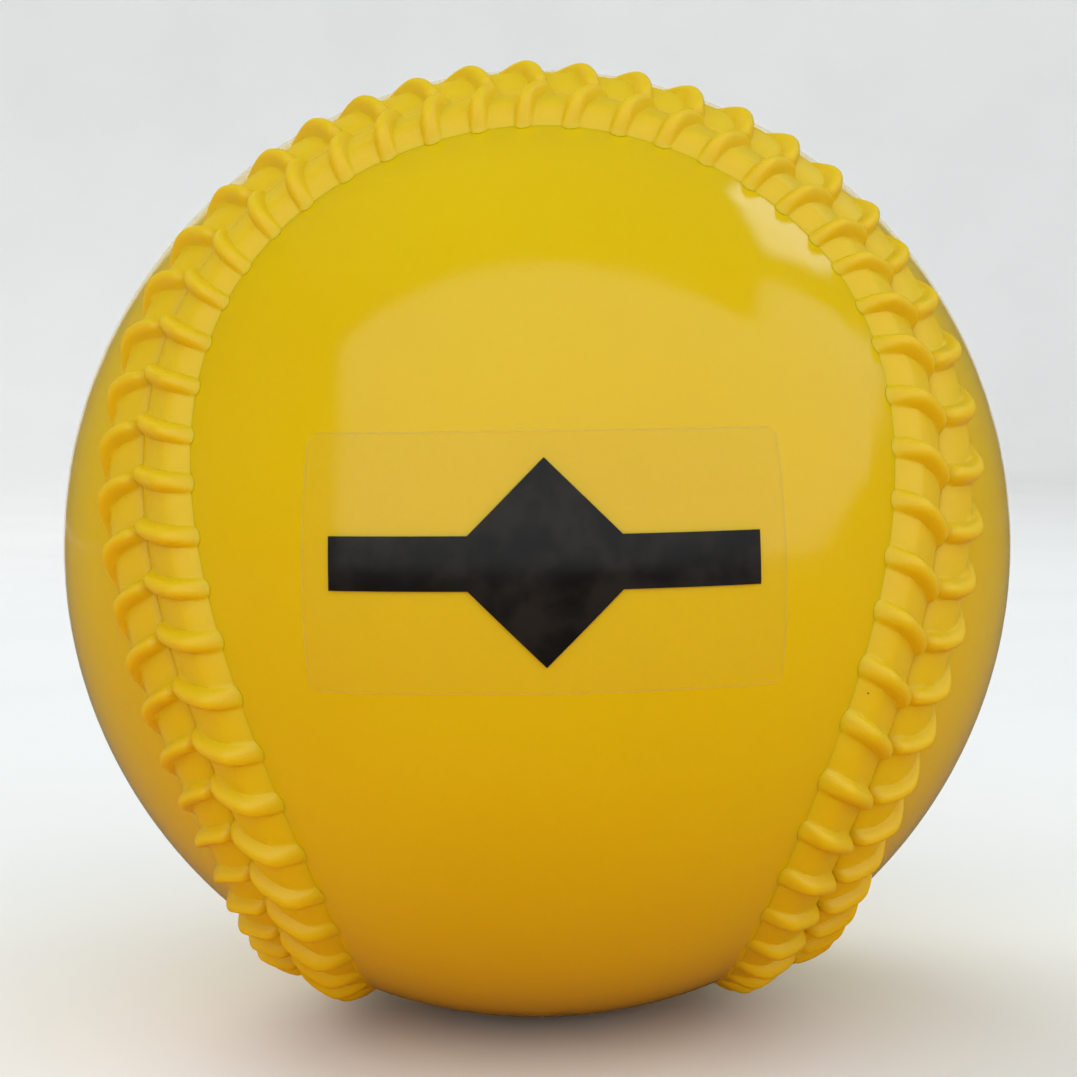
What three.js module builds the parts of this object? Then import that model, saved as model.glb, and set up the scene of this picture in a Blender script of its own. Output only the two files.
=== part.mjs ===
// Limited-flight practice baseball of the regulation nine-inch size.
// Millimetres, +Z up, origin at the centre of the ball. The label faces -Y.
//
// A foam core carries two figure-eight cover panels, as on any baseball. The under panel runs
// from the front lobe beneath the ball to the back lobe; the over panel runs from the left lobe
// across the top to the right lobe. Along the edge of each panel lies a raised welt, moulded
// in one with its row of stitch ribs. The two welts stand side by side and leave the groove of
// the seam between them. A clear film label with a plain printed figure sits on the front lobe.

import * as THREE from 'three';
import { mergeVertices } from 'three/addons/utils/BufferGeometryUtils.js';

// Driving dimensions

const coverDiameter = 72.766;         // nine inches round, measured over the smooth cover
const coverRadius = coverDiameter / 2;
const coverThickness = 3.0;
const seatGap = 0.3;                  // clearance of every bonded seat
const coreRadius = coverRadius - coverThickness - seatGap;

const seamNeckAngle = 0.485;          // radians from a neck's centre to the seam beside it
const seamSwing = 0.397;              // radians that the seam swings sideways between necks

const bandHalfWidth = 4.7;            // seam centre to the edge of a cover panel
const grooveSlit = 0.3;               // space between the two welts
const grooveRise = 0.15;              // heights above the cover
const weltRise = 0.96;
const weltLip = 0.15;
const weltCrest = 2.9;                // seam centre to the welt's highest line
const stitchRise = 0.88;              // added to the welt under a stitch
const stitchReach = 5.15;             // seam centre to where a stitch would run out

const stitchCount = 108;              // on each welt
const stitchWidth = 1.5;
const stitchTopShare = 0.55;          // part of the width that is level
const underLean = THREE.MathUtils.degToRad(19);
const overLean = THREE.MathUtils.degToRad(15);
const underStart = -1.22;             // places of each row's first stitch
const overStart = -1.5;
const stitchDrift = 1.24;             // the stitches lie closer together on one half of the seam
const stitchDriftPeak = 46.5;         // distance along the seam where the drift is greatest
const stitchBunch = 1.1;              // and one group of them is pushed along
const stitchBunchPlace = 64;
const stitchBunchReach = 10;

const filmWidth = 31.4;
const filmHeight = 16.4;
const filmCorner = 0.8;
const filmThickness = 0.2;
const filmLift = 0.12;                // adhesive under the film
const labelRise = 1.2;                // centre of the label above the equator
const labelTurn = -0.2;               // and to the side

const inkWidth = 27.6;
const inkHeight = 13.0;
const inkBarHeight = 3.4;
const inkThickness = 0.12;
const inkLift = 0.1;

// How finely the pieces are divided

const stationCount = 48;
const coverColumns = 10;
const liningColumns = 8;

// The centre line of the seam

function seamDirection(turn) {
  const fromPole = Math.PI / 2 - (Math.PI / 2 - seamNeckAngle) * Math.cos(turn);
  const around = turn / 2 + seamSwing * Math.sin(2 * turn);
  return new THREE.Vector3(
    Math.sin(fromPole) * Math.cos(around),
    -Math.sin(fromPole) * Math.sin(around),
    -Math.cos(fromPole),
  );
}

const fullTurn = 4 * Math.PI;
const tableSteps = 4096;
const lengthTable = [0];
let previous = seamDirection(0);
for (let i = 1; i <= tableSteps; i += 1) {
  const next = seamDirection((i / tableSteps) * fullTurn);
  lengthTable.push(lengthTable[i - 1] + previous.distanceTo(next) * coverRadius);
  previous = next;
}
const seamLength = lengthTable[tableSteps];

// The turn of the seam curve at a distance along it
function turnAt(distance) {
  const laps = Math.floor(distance / seamLength);
  const wanted = distance - laps * seamLength;
  let low = 0;
  let high = tableSteps;
  while (high - low > 1) {
    const middle = Math.floor((low + high) / 2);
    if (lengthTable[middle] <= wanted) {
      low = middle;
    } else {
      high = middle;
    }
  }
  const share = (wanted - lengthTable[low]) / (lengthTable[high] - lengthTable[low]);
  return ((low + share) / tableSteps) * fullTurn;
}

// The direction from the ball's centre to a point beside the seam. A positive offset lies
// towards the under panel, a negative one towards the over panel.
function besideSeam(distance, offset) {
  const turn = turnAt(distance);
  const here = seamDirection(turn);
  const ahead = seamDirection(turn + 1e-4).sub(seamDirection(turn - 1e-4)).normalize();
  const sideways = new THREE.Vector3().crossVectors(here, ahead).normalize();
  const angle = offset / coverRadius;
  return here.multiplyScalar(Math.cos(angle)).addScaledVector(sideways, Math.sin(angle));
}

// A point on the great circle between two directions
function between(start, end, share) {
  const angle = start.angleTo(end);
  if (angle < 1e-6) {
    return start.clone();
  }
  const first = Math.sin((1 - share) * angle) / Math.sin(angle);
  const second = Math.sin(share * angle) / Math.sin(angle);
  return start.clone().multiplyScalar(first).addScaledVector(end, second);
}

// A closed body from corner points and triangles. Corners that meet are merged, and triangles
// that shrink to a line there are left out.
function closedBody(points, triangles) {
  const loose = new THREE.BufferGeometry();
  const numbers = [];
  for (const point of points) {
    numbers.push(point.x, point.y, point.z);
  }
  loose.setAttribute('position', new THREE.Float32BufferAttribute(numbers, 3));
  loose.setIndex(triangles.flat());
  const merged = mergeVertices(loose, 1e-3);
  const index = merged.getIndex().array;
  const kept = [];
  for (let i = 0; i < index.length; i += 3) {
    const [a, b, c] = [index[i], index[i + 1], index[i + 2]];
    if (a !== b && b !== c && c !== a) {
      kept.push(a, b, c);
    }
  }
  merged.setIndex(kept);
  merged.computeVertexNormals();
  return merged;
}

// A curved sheet: rows of directions for its outer skin and for its inner skin, whose first
// and last columns lie one above the other. Rows that end in a single point close the sheet.
function curvedSheet(outerRows, innerRows, outerRadius, innerRadius) {
  const points = [];
  const triangles = [];

  function addSkin(rows, radius) {
    const start = points.length;
    for (const row of rows) {
      for (const direction of row) {
        points.push(direction.clone().multiplyScalar(radius));
      }
    }
    return start;
  }

  function addFaces(start, rows, outward) {
    const width = rows[0].length;
    for (let r = 0; r + 1 < rows.length; r += 1) {
      for (let c = 0; c + 1 < width; c += 1) {
        const a = start + r * width + c;
        const b = a + 1;
        const d = a + width;
        const e = d + 1;
        if (outward) {
          triangles.push([a, b, e], [a, e, d]);
        } else {
          triangles.push([a, e, b], [a, d, e]);
        }
      }
    }
  }

  const outer = addSkin(outerRows, outerRadius);
  const inner = addSkin(innerRows, innerRadius);
  addFaces(outer, outerRows, true);
  addFaces(inner, innerRows, false);

  const outerWidth = outerRows[0].length;
  const innerWidth = innerRows[0].length;
  for (let r = 0; r + 1 < outerRows.length; r += 1) {
    const left = outer + r * outerWidth;
    const leftUnder = inner + r * innerWidth;
    triangles.push([left, left + outerWidth, leftUnder]);
    triangles.push([leftUnder, left + outerWidth, leftUnder + innerWidth]);
    const right = left + outerWidth - 1;
    const rightUnder = leftUnder + innerWidth - 1;
    triangles.push([right, rightUnder, right + outerWidth]);
    triangles.push([rightUnder, rightUnder + innerWidth, right + outerWidth]);
  }
  if (outerWidth === innerWidth) {
    const lastOuter = outer + (outerRows.length - 1) * outerWidth;
    const lastInner = inner + (innerRows.length - 1) * innerWidth;
    for (let c = 0; c + 1 < outerWidth; c += 1) {
      triangles.push([outer + c, inner + c, outer + c + 1]);
      triangles.push([outer + c + 1, inner + c, inner + c + 1]);
      triangles.push([lastOuter + c, lastOuter + c + 1, lastInner + c]);
      triangles.push([lastOuter + c + 1, lastInner + c + 1, lastInner + c]);
    }
  }
  return closedBody(points, triangles);
}

// One figure-eight cover panel. It is crossed by arcs between mirrored points of its edge,
// from the tip of one lobe, through the neck, to the tip of the other lobe.
function coverPanel(tipDistance, side) {
  function rowsAcross(columns) {
    const rows = [];
    for (let r = 0; r <= stationCount; r += 1) {
      const along = (r / stationCount) * (seamLength / 2);
      const start = besideSeam(tipDistance - side * along, side * bandHalfWidth);
      const end = besideSeam(tipDistance + side * along, side * bandHalfWidth);
      const row = [];
      for (let c = 0; c <= columns; c += 1) {
        row.push(between(start, end, c / columns));
      }
      rows.push(row);
    }
    return rows;
  }
  return curvedSheet(
    rowsAcross(coverColumns),
    rowsAcross(liningColumns),
    coverRadius,
    coverRadius - coverThickness,
  );
}

// The height of a welt above the cover, at a distance from the centre of the seam. It rises
// from the groove, first steeply, to its crest and slopes down from there to its lip.
function weltHeight(offset) {
  const inner = grooveSlit / 2;
  const outer = bandHalfWidth;
  if (offset < weltCrest) {
    const short = (weltCrest - offset) / (weltCrest - inner);
    return grooveRise + (weltRise - grooveRise) * Math.pow(Math.max(0, 1 - short * short), 0.57);
  }
  const past = (offset - weltCrest) / (outer - weltCrest);
  return weltRise + (weltLip - weltRise) * Math.pow(past, 1.5);
}

// The height that a stitch rib adds along its top. It begins low over the groove and runs out
// beyond the welt's crest.
function ribHeight(offset) {
  const run = Math.max(0, (offset - weltCrest) / (stitchReach - weltCrest));
  const begin = Math.min(1, 0.5 + (offset - grooveSlit / 2) / stitchWidth);
  return stitchRise * begin * (1 - Math.pow(run, 2.4));
}

// How far the stitches lie from an even spacing, at a place along the seam
function stitchShift(place) {
  const turn = (2 * Math.PI * (place - stitchDriftPeak)) / seamLength;
  const away = (place - stitchBunchPlace) / stitchBunchReach;
  return stitchDrift * Math.cos(turn) + stitchBunch * Math.exp(-away * away);
}

// A welt with its stitch ribs: an endless strip, cut across at the two feet of each rib and at
// the two edges of its top. The cuts lean as the stitches do.
function seamWelt(side) {
  const inner = grooveSlit / 2;
  const outer = bandHalfWidth - seatGap;
  const offsets = [0, 0.3, 0.65, 1].map((share) => inner + (weltCrest - inner) * share);
  offsets.push((weltCrest + outer) / 2, outer);
  const footRadius = coreRadius + seatGap;
  const pitch = seamLength / stitchCount;
  const lean = side > 0 ? underLean : overLean;
  const firstPlace = side > 0 ? underStart : overStart;
  const halfRib = stitchWidth / 2 / Math.cos(lean);
  const cuts = [-halfRib, -halfRib * stitchTopShare, halfRib * stitchTopShare, halfRib];
  const points = [];
  const triangles = [];
  const loop = offsets.length + 2;

  for (let i = 0; i < stitchCount; i += 1) {
    for (let k = 0; k < cuts.length; k += 1) {
      const place = i * pitch + cuts[k];
      const start = firstPlace + place + stitchShift(place);
      const onTop = k === 1 || k === 2;
      const directions = offsets.map(
        (offset) => besideSeam(start + offset * Math.tan(lean), side * offset),
      );
      for (let j = 0; j < offsets.length; j += 1) {
        const height = weltHeight(offsets[j]) + (onTop ? ribHeight(offsets[j]) : 0);
        points.push(directions[j].clone().multiplyScalar(coverRadius + height));
      }
      points.push(directions[offsets.length - 1].clone().multiplyScalar(footRadius));
      points.push(directions[0].clone().multiplyScalar(footRadius));
    }
  }

  const columns = stitchCount * cuts.length;
  for (let i = 0; i < columns; i += 1) {
    const here = i * loop;
    const ahead = ((i + 1) % columns) * loop;
    for (let j = 0; j < loop; j += 1) {
      const up = (j + 1) % loop;
      if (side > 0) {
        triangles.push([here + j, ahead + up, here + up], [here + j, ahead + j, ahead + up]);
      } else {
        triangles.push([here + j, here + up, ahead + up], [here + j, ahead + up, ahead + j]);
      }
    }
  }
  return closedBody(points, triangles);
}

// A direction on the front lobe, from distances along the cover: to the right of the label's
// centre, and above it
function onFront(right, up) {
  const around = (labelTurn + right) / coverRadius;
  const above = (labelRise + up) / coverRadius;
  return new THREE.Vector3(
    Math.sin(around) * Math.cos(above),
    -Math.cos(around) * Math.cos(above),
    Math.sin(above),
  );
}

// A thin layer on the front lobe, between an upper and a lower edge that are mirror images
function frontLayer(columnsAt, halfHeight, rows, innerRadius, outerRadius) {
  const grid = columnsAt.map((right) => {
    const column = [];
    for (let r = 0; r <= rows; r += 1) {
      column.push(onFront(right, halfHeight(right) * (1 - (2 * r) / rows)));
    }
    return column;
  });
  return curvedSheet(grid, grid, outerRadius, innerRadius);
}

function labelFilm() {
  const half = filmWidth / 2;
  const columns = [-half];
  const cornerSteps = 3;
  for (let i = 1; i <= cornerSteps; i += 1) {
    columns.push(-half + filmCorner * (1 - Math.cos((i / cornerSteps) * (Math.PI / 2))));
  }
  const middleSteps = 8;
  for (let i = 1; i < middleSteps; i += 1) {
    columns.push((-half + filmCorner) * (1 - (2 * i) / middleSteps));
  }
  for (let i = cornerSteps; i >= 0; i -= 1) {
    columns.push(-columns[i]);
  }
  function halfHeight(right) {
    const beyond = Math.max(0, Math.abs(right) - (half - filmCorner)) / filmCorner;
    return filmHeight / 2 - filmCorner + filmCorner * Math.sqrt(Math.max(0, 1 - beyond * beyond));
  }
  const bottom = coverRadius + filmLift;
  return frontLayer(columns, halfHeight, 6, bottom, bottom + filmThickness);
}

// The printed figure: a plain bar with a diamond in its middle
function labelPrint() {
  const half = inkWidth / 2;
  const shoulder = (inkHeight - inkBarHeight) / 2;
  const columns = [-half, -half * 0.75, -shoulder, -shoulder / 2, 0];
  for (let i = 3; i >= 0; i -= 1) {
    columns.push(-columns[i]);
  }
  function halfHeight(right) {
    return Math.max(inkBarHeight / 2, inkHeight / 2 - Math.abs(right));
  }
  const bottom = coverRadius + filmLift + filmThickness + inkLift;
  return frontLayer(columns, halfHeight, 4, bottom, bottom + inkThickness);
}

// Materials and assembly

const foamMaterial = new THREE.MeshStandardMaterial({ color: 0xe9e2c4, roughness: 0.95, metalness: 0 });
const coverMaterial = new THREE.MeshStandardMaterial({ color: 0xd9b400, roughness: 0.28, metalness: 0 });
const weltMaterial = new THREE.MeshStandardMaterial({ color: 0xdcb70a, roughness: 0.6, metalness: 0 });
const filmMaterial = new THREE.MeshStandardMaterial({
  color: 0xffffff,
  roughness: 0.15,
  metalness: 0,
  transparent: true,
  opacity: 0.25,
});
const inkMaterial = new THREE.MeshStandardMaterial({ color: 0x141210, roughness: 0.4, metalness: 0 });

function piece(name, geometry, material) {
  const mesh = new THREE.Mesh(geometry, material);
  mesh.name = name;
  return mesh;
}

const ball = new THREE.Group();
ball.name = 'limited_flight_baseball';

const coreGeometry = new THREE.SphereGeometry(coreRadius, 36, 24);
coreGeometry.rotateX(Math.PI / 2);
ball.add(piece('foam_core', coreGeometry, foamMaterial));

const cover = new THREE.Group();
cover.add(piece('cover_under', coverPanel(seamLength / 4, 1), coverMaterial));
cover.add(piece('cover_over', coverPanel(0, -1), coverMaterial));
ball.add(cover);

const seam = new THREE.Group();
seam.add(piece('welt_under', seamWelt(1), weltMaterial));
seam.add(piece('welt_over', seamWelt(-1), weltMaterial));
ball.add(seam);

const label = new THREE.Group();
label.add(piece('label_film', labelFilm(), filmMaterial));
label.add(piece('label_print', labelPrint(), inkMaterial));
ball.add(label);

export default ball;
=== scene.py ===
"""Looks of a limited-flight practice baseball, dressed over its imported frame.

Metres, +Z up, origin at the centre of the ball. The label faces -Y, and +X is to its right.
Two glossy vinyl panels cover a foam core. Along the edge of each panel runs a matte raised welt,
moulded in one with its row of stitch ribs, and the seam's groove lies between the two welts.
"""

import logging
import math
from dataclasses import dataclass, field
from enum import Enum

import bpy
import numpy as np
from mathutils import Matrix, Vector


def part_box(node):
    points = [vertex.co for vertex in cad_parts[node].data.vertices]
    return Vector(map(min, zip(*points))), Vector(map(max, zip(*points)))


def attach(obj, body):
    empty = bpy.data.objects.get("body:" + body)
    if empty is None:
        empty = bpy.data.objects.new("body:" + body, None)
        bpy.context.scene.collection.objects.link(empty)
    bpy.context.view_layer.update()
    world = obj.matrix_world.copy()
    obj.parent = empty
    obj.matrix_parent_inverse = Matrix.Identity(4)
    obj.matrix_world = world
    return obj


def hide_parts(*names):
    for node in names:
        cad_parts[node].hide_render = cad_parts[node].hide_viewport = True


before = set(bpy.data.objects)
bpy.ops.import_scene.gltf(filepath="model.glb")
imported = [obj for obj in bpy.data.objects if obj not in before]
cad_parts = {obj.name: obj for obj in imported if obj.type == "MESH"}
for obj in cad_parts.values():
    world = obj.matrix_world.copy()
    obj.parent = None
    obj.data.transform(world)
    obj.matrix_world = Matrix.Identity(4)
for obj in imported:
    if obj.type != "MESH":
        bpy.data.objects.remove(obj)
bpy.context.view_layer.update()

MM = 0.001
BODY = "root"

Colour = tuple[float, float, float]
Socket = bpy.types.NodeSocket

log = logging.getLogger("baseball")


def lengths(vectors: np.ndarray) -> np.ndarray:
    """Lengths of the vectors in the last axis, with that axis kept."""
    return np.linalg.norm(vectors, axis=-1, keepdims=True)


def smooth_top(first: np.ndarray, second: np.ndarray, fillet: float) -> np.ndarray:
    """The higher of two surfaces, with a fillet where they meet.

    Args:
        first: Heights of one surface.
        second: Heights of the other.
        fillet: Height difference over which they blend.

    Returns:
        The blended heights.
    """
    share = np.clip(0.5 + 0.5 * (second - first) / fillet, 0.0, 1.0)
    return first + (second - first) * share + fillet * share * (1.0 - share)


# Seam, welts and stitch ribs as formulas


class Side(Enum):
    """The panel that a piece belongs to, with the sign of its offset from the seam."""

    UNDER = 1
    OVER = -1

    @property
    def word(self) -> str:
        """The side's word in the names of pieces."""
        return self.name.lower()

    @property
    def lobe_tip(self) -> float:
        """Share of the seam's length at which it rounds the tip of this panel's first lobe."""
        return 0.25 if self is Side.UNDER else 0.0


@dataclass
class SeamCurve:
    """The closed centre line of the seam, on the smooth cover.

    A turn runs through two full circles. The angle from the lower pole and the angle around it
    are written in terms of the turn, and a table gives the turn at each distance along the seam.
    """

    radius: float
    neck_angle: float = 0.485
    swing: float = 0.397
    table_steps: int = 8192
    turns: np.ndarray = field(init=False)
    distances: np.ndarray = field(init=False)

    def __post_init__(self) -> None:
        """Measures the seam's length up to each turn."""
        self.turns = np.linspace(0.0, 4.0 * math.pi, self.table_steps + 1)
        steps = lengths(np.diff(self.direction(self.turns), axis=0))[:, 0] * self.radius
        self.distances = np.concatenate([[0.0], np.cumsum(steps)])

    @property
    def length(self) -> float:
        """Length of the whole seam."""
        return float(self.distances[-1])

    def direction(self, turn: np.ndarray) -> np.ndarray:
        """Directions from the ball's centre to the seam at the given turns."""
        from_pole = math.pi / 2 - (math.pi / 2 - self.neck_angle) * np.cos(turn)
        around = turn / 2 + self.swing * np.sin(2 * turn)
        out = np.sin(from_pole)
        return np.stack([out * np.cos(around), -out * np.sin(around), -np.cos(from_pole)], -1)

    def beside(self, distance: np.ndarray, offset: np.ndarray) -> np.ndarray:
        """Directions to points beside the seam.

        Args:
            distance: Distances along the seam.
            offset: Distances from it, positive towards the under panel.

        Returns:
            One unit vector for each pair.
        """
        turn = np.interp(np.mod(distance, self.length), self.distances, self.turns)
        here = self.direction(turn)
        ahead = self.direction(turn + 1e-4) - self.direction(turn - 1e-4)
        sideways = np.cross(here, ahead)
        sideways /= lengths(sideways)
        angle = (np.asarray(offset) / self.radius)[..., None]
        return here * np.cos(angle) + sideways * np.sin(angle)


@dataclass(frozen=True)
class RibShape:
    """Form of one row's ribs.

    A rib's middle line starts at its tip near the groove and crosses the welt outwards. It
    leans along the seam, bows between its ends and curls forward at its outer end. The seed
    sets the row's small unevenness.
    """

    half_width: float
    lean: float
    start: float
    bow: float
    curl: float
    tip: float
    taper: float
    seed: int
    span: float = 5.0 * MM

    def shift(self, offset: np.ndarray) -> np.ndarray:
        """How far bow and curl carry the middle line along the seam, at each offset."""
        run = np.clip(offset / self.span, 0.0, 1.0)
        return 4.0 * self.bow * run * (1.0 - run) + self.curl * run**3

    def slope(self, offset: np.ndarray) -> np.ndarray:
        """Slope of the middle line against the straight way across, at each offset."""
        run = np.clip(offset / self.span, 0.0, 1.0)
        turning = 4.0 * self.bow * (1.0 - 2.0 * run) + 3.0 * self.curl * run**2
        return math.tan(math.radians(self.lean)) + turning / self.span


@dataclass(frozen=True)
class Relief:
    """Heights above the cover of a welt and its ribs, by distance from the seam's centre."""

    inner: float = 0.01 * MM
    edge: float = 4.6 * MM
    groove_height: float = 0.12 * MM
    crest_height: float = 0.96 * MM
    crest_offset: float = 2.9 * MM
    lip_height: float = 0.012 * MM
    inner_roundness: float = 0.57
    outer_roundness: float = 1.5
    rib_rise: float = 0.88 * MM
    rib_shoulder: float = 2.9 * MM
    rib_reach: float = 4.95 * MM
    rib_fall: float = 2.4
    foot_round: float = 0.5 * MM
    rib_toe: float = 0.45
    fillet: float = 0.16 * MM

    def valley(self, offset: np.ndarray) -> np.ndarray:
        """Height of the welt between two ribs, at distances from the centre of the seam."""
        rising = np.clip((offset - self.inner) / (self.crest_offset - self.inner), 0.0, 1.0)
        falling = np.clip((offset - self.crest_offset) / (self.edge - self.crest_offset), 0.0, 1.0)
        climb = (1.0 - (1.0 - rising) ** 2) ** self.inner_roundness
        inside = self.groove_height + (self.crest_height - self.groove_height) * climb
        drop = falling**self.outer_roundness
        outside = self.crest_height + (self.lip_height - self.crest_height) * drop
        return np.where(offset < self.crest_offset, inside, outside)

    def rib(self, offset: np.ndarray, across: np.ndarray, ribs: RibShape) -> np.ndarray:
        """Height that a rib adds, before it is blended with what it lies on.

        Args:
            offset: Distances from the centre of the seam.
            across: Distances from the rib's middle line as shares of its half width.
            ribs: The row's shape.

        Returns:
            Heights, zero beside the rib.
        """
        run = np.clip((offset - self.rib_shoulder) / (self.rib_reach - self.rib_shoulder), 0.0, 1.0)
        rise = self.rib_rise * (1.0 - run**self.rib_fall)
        inner_cap = np.maximum(ribs.tip + ribs.taper - offset, 0.0) / ribs.taper
        outer_cap = np.maximum(offset - self.rib_reach + self.foot_round, 0.0) / self.foot_round
        inside = 1.0 - across**2 - np.maximum(inner_cap, outer_cap) ** 2
        power = 0.5 + self.rib_toe * np.minimum(across**2, 1.0)
        return rise * np.maximum(inside, 0.0) ** power

    def on_welt(self, offset: np.ndarray, across: np.ndarray, ribs: RibShape) -> np.ndarray:
        """Height of the welt's skin, ribs included."""
        ground = self.valley(np.abs(offset))
        bed = self.valley(np.clip(np.abs(offset), self.inner, self.edge))
        rib = self.rib(offset, across, ribs)
        raised = np.where(rib > 0.0, bed + rib, ground - self.fillet)
        return smooth_top(ground, raised, self.fillet)


@dataclass
class StitchRow:
    """Places of one welt's ribs along the seam, with the small unevenness of the mould."""

    seam: SeamCurve
    ribs: RibShape
    count: int = 108
    drift: float = 1.24 * MM
    drift_peak: float = 46.5 * MM
    bunch: float = 1.1 * MM
    bunch_place: float = 64.0 * MM
    bunch_reach: float = 10.0 * MM
    uneven_place: float = 0.07 * MM
    uneven_lean: float = 1.2
    uneven_height: float = 0.06
    flanks: tuple[float, ...] = (0.28, 0.53, 0.73, 0.87, 0.97, 1.08, 1.32, 1.7, 2.3)
    indices: np.ndarray = field(init=False)

    def __post_init__(self) -> None:
        """Sets the columns of the mesh: several on each rib, and one in each valley."""
        places = [0.0, 0.5]
        for flank in self.flanks:
            share = flank * self.ribs.half_width / self.pitch
            places += [share, 1.0 - share]
        cuts = np.array(sorted(places))
        self.indices = (np.arange(self.count)[:, None] + cuts[None, :]).ravel()
        rng = np.random.default_rng(self.ribs.seed)
        self.place_noise = rng.normal(0.0, self.uneven_place, self.count)
        self.lean_noise = rng.normal(0.0, self.uneven_lean, self.count)
        self.height_noise = rng.normal(0.0, self.uneven_height, self.count)

    @property
    def pitch(self) -> float:
        """Distance along the seam from one rib to the next."""
        return self.seam.length / self.count

    def across(self, offset: np.ndarray) -> np.ndarray:
        """Distances of every column from its rib's middle line, as shares of the half width.

        Args:
            offset: Offsets from the seam, with the columns in the first axis.

        Returns:
            Shares of the same shape, 1 and -1 on the rib's flanks.
        """
        beside = (self.indices - np.round(self.indices)) * self.pitch
        wider = np.sqrt(1.0 + self.ribs.slope(offset) ** 2)
        return beside[:, None] / (self.ribs.half_width * wider)

    def blended(self, values: np.ndarray) -> np.ndarray:
        """Values that belong to the ribs, run smoothly into each other between them."""
        below = np.floor(self.indices).astype(int)
        share = self.indices - below
        share = share * share * (3.0 - 2.0 * share)
        first = values[below % self.count]
        second = values[(below + 1) % self.count]
        return first + (second - first) * share

    def distances(self, offset: np.ndarray) -> np.ndarray:
        """Distances along the seam of every column, at each offset.

        Args:
            offset: Offsets from the seam, with the columns in the first axis.

        Returns:
            Distances of the same shape.
        """
        place = self.indices * self.pitch
        angle = 2.0 * math.pi * (place - self.drift_peak) / self.seam.length
        away = (place - self.bunch_place) / self.bunch_reach
        place = place + self.ribs.start + self.blended(self.place_noise)
        place = place + self.drift * np.cos(angle) + self.bunch * np.exp(-(away**2))
        slope = np.tan(np.radians(self.ribs.lean + self.blended(self.lean_noise)))
        return place[:, None] + offset * slope[:, None] + self.ribs.shift(offset)

    def heights(self) -> np.ndarray:
        """Factor on the height of the rib that each column belongs to."""
        nearest = np.round(self.indices).astype(int) % self.count
        return 1.0 + self.height_noise[nearest]


# Mesh and node helpers


class Skin:
    """Collects the corners and faces of one mesh, and makes the piece from them."""

    def __init__(self) -> None:
        """Starts empty."""
        self.corners: list[np.ndarray] = []
        self.quads: list[np.ndarray] = []
        self.triangles: list[np.ndarray] = []
        self.total = 0

    def add(self, points: np.ndarray) -> np.ndarray:
        """Adds corners and returns their numbers, in the shape that they came in."""
        flat = points.reshape(-1, 3)
        numbers = np.arange(self.total, self.total + len(flat)).reshape(points.shape[:-1])
        self.corners.append(flat)
        self.total += len(flat)
        return numbers

    def cloth(self, numbers: np.ndarray, ring: bool = False, flip: bool = False) -> None:
        """Covers a grid of corners with four-sided faces.

        Args:
            numbers: Corner numbers in rows and columns.
            ring: Whether the last row joins the first.
            flip: Whether the faces are turned over.
        """
        ahead = np.roll(numbers, -1, axis=0) if ring else numbers[1:]
        here = numbers if ring else numbers[:-1]
        faces = np.stack([here[:, :-1], ahead[:, :-1], ahead[:, 1:], here[:, 1:]], -1)
        faces = faces.reshape(-1, 4)
        self.quads.append(faces[:, ::-1] if flip else faces)

    def fan(self, fine: np.ndarray, coarse: np.ndarray, flip: bool = False) -> None:
        """Joins a closed ring of many corners to one of fewer.

        Args:
            fine: Numbers of the finer ring, a whole multiple of the coarser one's count.
            coarse: Numbers of the coarser ring, which starts at the same place.
            flip: Whether the faces are turned over.
        """
        share = len(fine) // len(coarse)
        faces = []
        for i, start in enumerate(coarse):
            end = coarse[(i + 1) % len(coarse)]
            for k in range(share):
                first = fine[i * share + k]
                second = fine[(i * share + k + 1) % len(fine)]
                faces.append((start if k < share // 2 else end, first, second))
            faces.append((start, fine[i * share + share // 2], end))
        made = np.array(faces)
        self.triangles.append(made[:, ::-1] if flip else made)

    def piece(self, name: str, crease: float = 50.0) -> bpy.types.Object:
        """Makes the object.

        Args:
            name: The piece's name.
            crease: Angle in degrees above which an edge stays crisp.

        Returns:
            The new object, smooth apart from its crisp edges.
        """
        corners = np.concatenate(self.corners)
        quads = np.concatenate(self.quads) if self.quads else np.zeros((0, 4), int)
        triangles = np.concatenate(self.triangles) if self.triangles else np.zeros((0, 3), int)
        loops = np.concatenate([quads.ravel(), triangles.ravel()])
        starts = np.concatenate([
            np.arange(len(quads)) * 4,
            quads.size + np.arange(len(triangles)) * 3,
        ])
        mesh = bpy.data.meshes.new(name)
        mesh.vertices.add(len(corners))
        mesh.vertices.foreach_set("co", corners.ravel())
        mesh.loops.add(len(loops))
        mesh.loops.foreach_set("vertex_index", loops)
        mesh.polygons.add(len(starts))
        mesh.polygons.foreach_set("loop_start", starts)
        mesh.polygons.foreach_set("use_smooth", np.ones(len(starts), bool))
        mesh.update(calc_edges=True)
        mesh.validate()
        mesh.set_sharp_from_angle(angle=math.radians(crease))
        made = bpy.data.objects.new(name, mesh)
        bpy.context.scene.collection.objects.link(made)
        return made


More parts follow.
